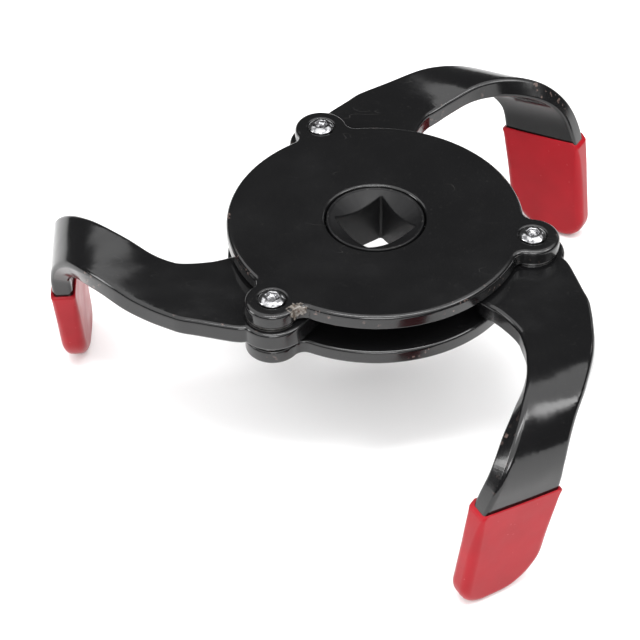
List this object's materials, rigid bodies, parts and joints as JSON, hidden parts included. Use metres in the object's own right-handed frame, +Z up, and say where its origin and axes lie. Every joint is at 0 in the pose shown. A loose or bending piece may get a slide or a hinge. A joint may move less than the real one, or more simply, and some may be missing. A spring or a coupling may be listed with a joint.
{
  "type": "oil filter wrench",
  "caption": "Oil filter wrench: turning the square drive in the hub swings its geared, red-sleeved jaws in or out together.",
  "frame": {"origin": "middle of the box that the wrench fills, in plan, at the level of the jaw tips that it stands on; the hub axis passes through x = 0.01183 m, y = -0.00031 m", "axes": "+Z up along the drive hub's axis, towards the side that the ratchet enters; +X from the hub axis towards the first arm's pivot"},
  "size_m": [0.128, 0.1392, 0.049],
  "materials": {
    "black_paint": "gloss black paint over pressed steel",
    "hub_black": "satin black oxide",
    "red_sleeve": "satin dipped PVC",
    "chrome": "bright plated",
    "plain_steel": "plain turned steel, oiled"
  },
  "bodies": {
    "housing": {"top_plate": "black_paint", "bottom_plate": "black_paint", "pivot_screw_1": "chrome", "pivot_bush_1": "plain_steel", "washer_upper_1": "plain_steel", "washer_lower_1": "plain_steel", "pivot_screw_2": "chrome", "pivot_bush_2": "plain_steel", "washer_upper_2": "plain_steel", "washer_lower_2": "plain_steel", "pivot_screw_3": "chrome", "pivot_bush_3": "plain_steel", "washer_upper_3": "plain_steel", "washer_lower_3": "plain_steel"},
    "drive_hub": {"drive_hub": "hub_black"},
    "arm_1": {"arm_1": "black_paint", "jaw_sleeve_1": "red_sleeve"},
    "arm_2": {"arm_2": "black_paint", "jaw_sleeve_2": "red_sleeve"},
    "arm_3": {"arm_3": "black_paint", "jaw_sleeve_3": "red_sleeve"}
  },
  "joints": [
    {"name": "drive_spin", "type": "hinge", "parent": "housing", "child": "drive_hub", "pos_m": [0.01183, -0.00031, 0.04148], "axis": [0, 0, 1], "range_deg": [-12, 48]},
    {"name": "arm_swing_1", "type": "hinge", "parent": "housing", "child": "arm_1", "pos_m": [0.04683, -0.00031, 0.04148], "axis": [0, 0, 1], "range_deg": [-36, 9]},
    {"name": "arm_swing_2", "type": "hinge", "parent": "housing", "child": "arm_2", "pos_m": [-0.00567, 0.03, 0.04148], "axis": [0, 0, 1], "range_deg": [-36, 9]},
    {"name": "arm_swing_3", "type": "hinge", "parent": "housing", "child": "arm_3", "pos_m": [-0.00567, -0.03062, 0.04148], "axis": [0, 0, 1], "range_deg": [-36, 9]}
  ],
  "couplings": [
    {"joint": "arm_swing_1", "follows": "drive_spin", "ratio": -0.75},
    {"joint": "arm_swing_2", "follows": "drive_spin", "ratio": -0.75},
    {"joint": "arm_swing_3", "follows": "drive_spin", "ratio": -0.75}
  ]
}
